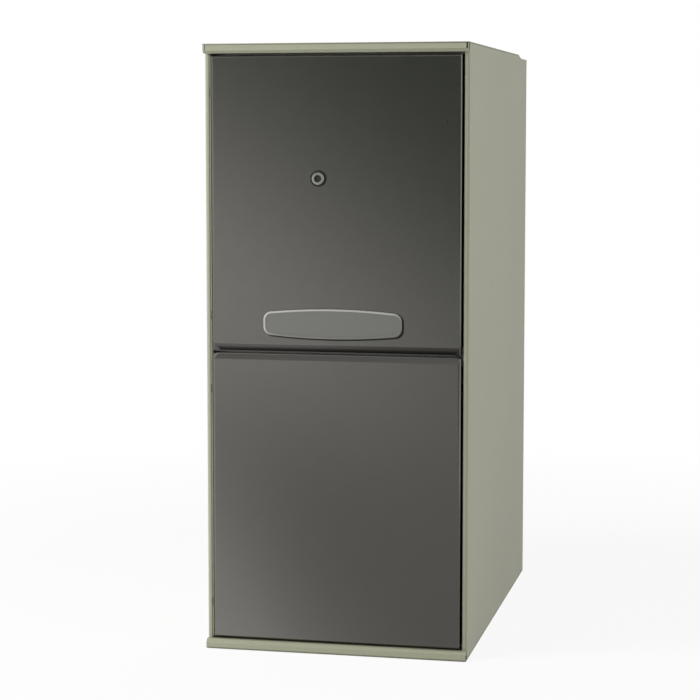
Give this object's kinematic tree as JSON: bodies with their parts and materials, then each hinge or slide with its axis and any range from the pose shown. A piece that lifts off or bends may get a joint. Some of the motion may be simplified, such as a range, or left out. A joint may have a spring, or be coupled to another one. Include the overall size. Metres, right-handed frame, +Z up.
{
  "type": "gas furnace",
  "caption": "Upflow condensing gas furnace: painted sheet-steel cabinet with pull-off burner and blower doors, heat exchanger, gas burners, draught inducer and blower inside.",
  "frame": {"origin": "middle of the base at floor level", "axes": "+X to the right seen from the front, -Y towards the doors, +Z up"},
  "size_m": [0.4444, 0.73, 1.016],
  "materials": {
    "cabinet_paint": "sage-grey satin enamel",
    "door_paint": "dark warm-grey satin enamel",
    "galvanised_steel": "galvanised sheet",
    "spring_steel": "bright spring strip",
    "foil_insulation": "foil-faced glass fibre",
    "tube_steel": "aluminised tube",
    "coil_aluminium": "bare fins",
    "black_plastic": "moulded black",
    "black_rubber": "moulded rubber",
    "gas_pipe": "black steel pipe",
    "orifice_brass": "turned",
    "cast_aluminium": "die cast",
    "knob_plastic": "red moulded",
    "ceramic": "white ceramic",
    "switch_black": "moulded",
    "reset_plastic": "red moulded",
    "motor_paint": "black enamel",
    "motor_casting": "painted casting",
    "pvc_white": "white pipe",
    "shaft_steel": "ground",
    "board_green": "circuit board",
    "component_plastic": "moulded",
    "transformer_steel": "varnished laminations",
    "bezel_metal": "satin",
    "sight_glass": "dark clear",
    "plate_metal": "satin with a bright rim"
  },
  "bodies": {
    "cabinet": {"left_side_panel": "cabinet_paint", "right_side_panel": "cabinet_paint", "top_rail": "cabinet_paint", "bottom_rail": "cabinet_paint", "back_panel": "galvanised_steel", "base_pan": "galvanised_steel", "top_panel": "galvanised_steel", "middle_rail": "galvanised_steel", "blower_deck": "galvanised_steel", "vestibule_panel": "galvanised_steel", "wall_insulation": "foil_insulation", "wall_grommets": "black_rubber", "door_catches": "spring_steel", "heat_exchanger_tubes": "tube_steel", "coupling_box": "tube_steel", "condensing_coil": "coil_aluminium", "collector_box": "black_plastic", "condensate_trap": "black_plastic", "burners": "tube_steel", "burner_hood": "galvanised_steel", "burner_rack": "galvanised_steel", "gas_manifold": "gas_pipe", "gas_orifices": "orifice_brass", "gas_valve": "cast_aluminium", "igniter": "ceramic", "flame_sensor": "ceramic", "rollout_switches": "switch_black", "limit_switch": "switch_black", "inducer_back_plate": "galvanised_steel", "inducer_housing": "black_plastic", "inducer_motor": "motor_paint", "vent_boot": "black_rubber", "vent_pipe": "pvc_white", "pipe_collars": "black_plastic", "pressure_switch": "switch_black", "pressure_hose": "black_rubber", "blower_housing": "galvanised_steel", "blower_motor": "motor_casting", "motor_mount": "galvanised_steel", "control_panel": "galvanised_steel", "control_board": "board_green", "board_components": "component_plastic", "transformer": "transformer_steel", "interlock_switch": "switch_black"},
    "upper_door": {"upper_door_panel": "door_paint", "upper_door_liner": "foil_insulation", "sight_glass_gasket": "black_rubber", "sight_glass_bezel": "bezel_metal", "sight_glass_lens": "sight_glass", "nameplate": "plate_metal"},
    "lower_door": {"lower_door_panel": "door_paint", "lower_door_liner": "foil_insulation"},
    "blower_wheel": {"blower_wheel": "galvanised_steel", "blower_shaft": "shaft_steel"},
    "inducer_wheel": {"inducer_wheel": "black_plastic"},
    "gas_knob": {"gas_valve_knob": "knob_plastic"},
    "interlock_plunger": {"interlock_plunger": "component_plastic"},
    "left_reset": {"left_reset_button": "reset_plastic"},
    "right_reset": {"right_reset_button": "reset_plastic"}
  },
  "joints": [
    {"name": "upper_door_pull", "type": "slide", "parent": "cabinet", "child": "upper_door", "axis": [0, -1, 0], "range_m": [0, 0.3]},
    {"name": "lower_door_pull", "type": "slide", "parent": "cabinet", "child": "lower_door", "axis": [0, -1, 0], "range_m": [0, 0.3]},
    {"name": "interlock_plunge", "type": "slide", "parent": "cabinet", "child": "interlock_plunger", "axis": [0, -1, 0], "range_m": [0, 0.006]},
    {"name": "blower_wheel_spin", "type": "hinge", "parent": "cabinet", "child": "blower_wheel", "pos_m": [0, 0.07, 0.343], "axis": [1, 0, 0], "continuous": true},
    {"name": "inducer_wheel_spin", "type": "hinge", "parent": "cabinet", "child": "inducer_wheel", "pos_m": [0.12, -0.229, 0.582], "axis": [0, 1, 0], "continuous": true},
    {"name": "gas_knob_turn", "type": "hinge", "parent": "cabinet", "child": "gas_knob", "pos_m": [-0.17725, -0.318, 0.72198], "axis": [0, -1, 0], "range_deg": [0, 90]},
    {"name": "left_reset_press", "type": "slide", "parent": "cabinet", "child": "left_reset", "axis": [0, 0, -1], "range_m": [0, 0.002], "stiffness_N_per_m": 400},
    {"name": "right_reset_press", "type": "slide", "parent": "cabinet", "child": "right_reset", "axis": [0, 0, -1], "range_m": [0, 0.002], "stiffness_N_per_m": 400}
  ],
  "couplings": [
    {"joint": "interlock_plunge", "follows": "lower_door_pull", "ratio": 0.02}
  ]
}
